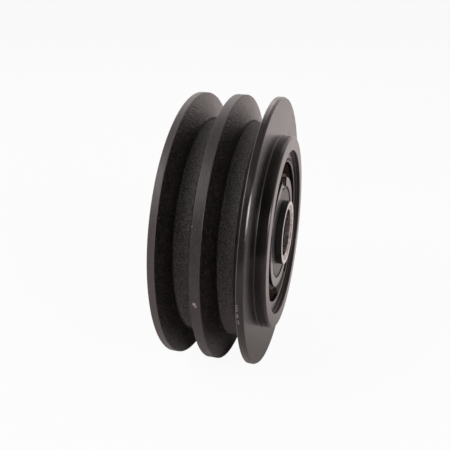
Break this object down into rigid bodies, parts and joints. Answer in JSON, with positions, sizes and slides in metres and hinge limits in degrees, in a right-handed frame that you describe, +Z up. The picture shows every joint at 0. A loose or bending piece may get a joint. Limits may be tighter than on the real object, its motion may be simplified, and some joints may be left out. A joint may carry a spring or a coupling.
{
  "type": "idler pulley",
  "caption": "Cast idler pulley with V grooves, a raised boss ring and windowed web, turning on sealed ball bearings over a bushed axle bore.",
  "frame": {"origin": "on the axle, at the middle of the bore", "axes": "+Y along the axle towards the plain rear side, -Y towards the boss side, +Z up"},
  "size_m": [0.142, 0.0532, 0.142],
  "materials": {
    "cast_body": "satin black paint over rough casting",
    "shield_paint": "satin black paint over pressed sheet",
    "bush_steel": "turned",
    "spacer_steel": "turned",
    "spring_steel": "phosphated",
    "bearing_steel": "ground",
    "seal_rubber": "satin",
    "cage_steel": "pressed",
    "ball_steel": "polished"
  },
  "bodies": {
    "fixed_core": {"front_bush": "bush_steel", "front_shield": "shield_paint", "rear_bush": "bush_steel", "inner_spacer": "spacer_steel", "front_inner_ring": "bearing_steel", "rear_inner_ring": "bearing_steel"},
    "pulley": {"pulley_body": "cast_body", "outer_spacer": "spacer_steel", "rear_circlip": "spring_steel", "front_outer_ring": "bearing_steel", "front_seal_front": "seal_rubber", "front_seal_rear": "seal_rubber", "rear_outer_ring": "bearing_steel", "rear_seal_front": "seal_rubber", "rear_seal_rear": "seal_rubber"},
    "front_cage": {"front_cage_front": "cage_steel", "front_cage_rear": "cage_steel", "front_cage_rivets": "cage_steel"},
    "rear_cage": {"rear_cage_front": "cage_steel", "rear_cage_rear": "cage_steel", "rear_cage_rivets": "cage_steel"},
    "front_ball_1": {"front_ball_1": "ball_steel"},
    "front_ball_2": {"front_ball_2": "ball_steel"},
    "front_ball_3": {"front_ball_3": "ball_steel"},
    "front_ball_4": {"front_ball_4": "ball_steel"},
    "front_ball_5": {"front_ball_5": "ball_steel"},
    "front_ball_6": {"front_ball_6": "ball_steel"},
    "front_ball_7": {"front_ball_7": "ball_steel"},
    "front_ball_8": {"front_ball_8": "ball_steel"},
    "front_ball_9": {"front_ball_9": "ball_steel"},
    "rear_ball_1": {"rear_ball_1": "ball_steel"},
    "rear_ball_2": {"rear_ball_2": "ball_steel"},
    "rear_ball_3": {"rear_ball_3": "ball_steel"},
    "rear_ball_4": {"rear_ball_4": "ball_steel"},
    "rear_ball_5": {"rear_ball_5": "ball_steel"},
    "rear_ball_6": {"rear_ball_6": "ball_steel"},
    "rear_ball_7": {"rear_ball_7": "ball_steel"},
    "rear_ball_8": {"rear_ball_8": "ball_steel"},
    "rear_ball_9": {"rear_ball_9": "ball_steel"}
  },
  "joints": [
    {"name": "pulley_spin", "type": "hinge", "parent": "fixed_core", "child": "pulley", "pos_m": [0, 0, 0], "axis": [0, 1, 0], "continuous": true},
    {"name": "front_cage_orbit", "type": "hinge", "parent": "fixed_core", "child": "front_cage", "pos_m": [0, -0.01443, 0], "axis": [0, 1, 0], "continuous": true},
    {"name": "front_ball_1_roll", "type": "hinge", "parent": "front_cage", "child": "front_ball_1", "pos_m": [0.0148, -0.01443, 0.01242], "axis": [0, 1, 0], "continuous": true},
    {"name": "front_ball_2_roll", "type": "hinge", "parent": "front_cage", "child": "front_ball_2", "pos_m": [0.00335, -0.01443, 0.01902], "axis": [0, 1, 0], "continuous": true},
    {"name": "front_ball_3_roll", "type": "hinge", "parent": "front_cage", "child": "front_ball_3", "pos_m": [-0.00966, -0.01443, 0.01673], "axis": [0, 1, 0], "continuous": true},
    {"name": "front_ball_4_roll", "type": "hinge", "parent": "front_cage", "child": "front_ball_4", "pos_m": [-0.01815, -0.01443, 0.00661], "axis": [0, 1, 0], "continuous": true},
    {"name": "front_ball_5_roll", "type": "hinge", "parent": "front_cage", "child": "front_ball_5", "pos_m": [-0.01815, -0.01443, -0.00661], "axis": [0, 1, 0], "continuous": true},
    {"name": "front_ball_6_roll", "type": "hinge", "parent": "front_cage", "child": "front_ball_6", "pos_m": [-0.00966, -0.01443, -0.01673], "axis": [0, 1, 0], "continuous": true},
    {"name": "front_ball_7_roll", "type": "hinge", "parent": "front_cage", "child": "front_ball_7", "pos_m": [0.00335, -0.01443, -0.01902], "axis": [0, 1, 0], "continuous": true},
    {"name": "front_ball_8_roll", "type": "hinge", "parent": "front_cage", "child": "front_ball_8", "pos_m": [0.0148, -0.01443, -0.01242], "axis": [0, 1, 0], "continuous": true},
    {"name": "front_ball_9_roll", "type": "hinge", "parent": "front_cage", "child": "front_ball_9", "pos_m": [0.01932, -0.01443, 0], "axis": [0, 1, 0], "continuous": true},
    {"name": "rear_cage_orbit", "type": "hinge", "parent": "fixed_core", "child": "rear_cage", "pos_m": [0, 0.01141, 0], "axis": [0, 1, 0], "continuous": true},
    {"name": "rear_ball_1_roll", "type": "hinge", "parent": "rear_cage", "child": "rear_ball_1", "pos_m": [0.0148, 0.01141, 0.01242], "axis": [0, 1, 0], "continuous": true},
    {"name": "rear_ball_2_roll", "type": "hinge", "parent": "rear_cage", "child": "rear_ball_2", "pos_m": [0.00335, 0.01141, 0.01902], "axis": [0, 1, 0], "continuous": true},
    {"name": "rear_ball_3_roll", "type": "hinge", "parent": "rear_cage", "child": "rear_ball_3", "pos_m": [-0.00966, 0.01141, 0.01673], "axis": [0, 1, 0], "continuous": true},
    {"name": "rear_ball_4_roll", "type": "hinge", "parent": "rear_cage", "child": "rear_ball_4", "pos_m": [-0.01815, 0.01141, 0.00661], "axis": [0, 1, 0], "continuous": true},
    {"name": "rear_ball_5_roll", "type": "hinge", "parent": "rear_cage", "child": "rear_ball_5", "pos_m": [-0.01815, 0.01141, -0.00661], "axis": [0, 1, 0], "continuous": true},
    {"name": "rear_ball_6_roll", "type": "hinge", "parent": "rear_cage", "child": "rear_ball_6", "pos_m": [-0.00966, 0.01141, -0.01673], "axis": [0, 1, 0], "continuous": true},
    {"name": "rear_ball_7_roll", "type": "hinge", "parent": "rear_cage", "child": "rear_ball_7", "pos_m": [0.00335, 0.01141, -0.01902], "axis": [0, 1, 0], "continuous": true},
    {"name": "rear_ball_8_roll", "type": "hinge", "parent": "rear_cage", "child": "rear_ball_8", "pos_m": [0.0148, 0.01141, -0.01242], "axis": [0, 1, 0], "continuous": true},
    {"name": "rear_ball_9_roll", "type": "hinge", "parent": "rear_cage", "child": "rear_ball_9", "pos_m": [0.01932, 0.01141, 0], "axis": [0, 1, 0], "continuous": true}
  ],
  "couplings": [
    {"joint": "front_cage_orbit", "follows": "pulley_spin", "ratio": 0.60273},
    {"joint": "front_ball_1_roll", "follows": "pulley_spin", "ratio": 2.3308},
    {"joint": "front_ball_2_roll", "follows": "pulley_spin", "ratio": 2.3308},
    {"joint": "front_ball_3_roll", "follows": "pulley_spin", "ratio": 2.3308},
    {"joint": "front_ball_4_roll", "follows": "pulley_spin", "ratio": 2.3308},
    {"joint": "front_ball_5_roll", "follows": "pulley_spin", "ratio": 2.3308},
    {"joint": "front_ball_6_roll", "follows": "pulley_spin", "ratio": 2.3308},
    {"joint": "front_ball_7_roll", "follows": "pulley_spin", "ratio": 2.3308},
    {"joint": "front_ball_8_roll", "follows": "pulley_spin", "ratio": 2.3308},
    {"joint": "front_ball_9_roll", "follows": "pulley_spin", "ratio": 2.3308},
    {"joint": "rear_cage_orbit", "follows": "pulley_spin", "ratio": 0.60273},
    {"joint": "rear_ball_1_roll", "follows": "pulley_spin", "ratio": 2.3308},
    {"joint": "rear_ball_2_roll", "follows": "pulley_spin", "ratio": 2.3308},
    {"joint": "rear_ball_3_roll", "follows": "pulley_spin", "ratio": 2.3308},
    {"joint": "rear_ball_4_roll", "follows": "pulley_spin", "ratio": 2.3308},
    {"joint": "rear_ball_5_roll", "follows": "pulley_spin", "ratio": 2.3308},
    {"joint": "rear_ball_6_roll", "follows": "pulley_spin", "ratio": 2.3308},
    {"joint": "rear_ball_7_roll", "follows": "pulley_spin", "ratio": 2.3308},
    {"joint": "rear_ball_8_roll", "follows": "pulley_spin", "ratio": 2.3308},
    {"joint": "rear_ball_9_roll", "follows": "pulley_spin", "ratio": 2.3308}
  ]
}
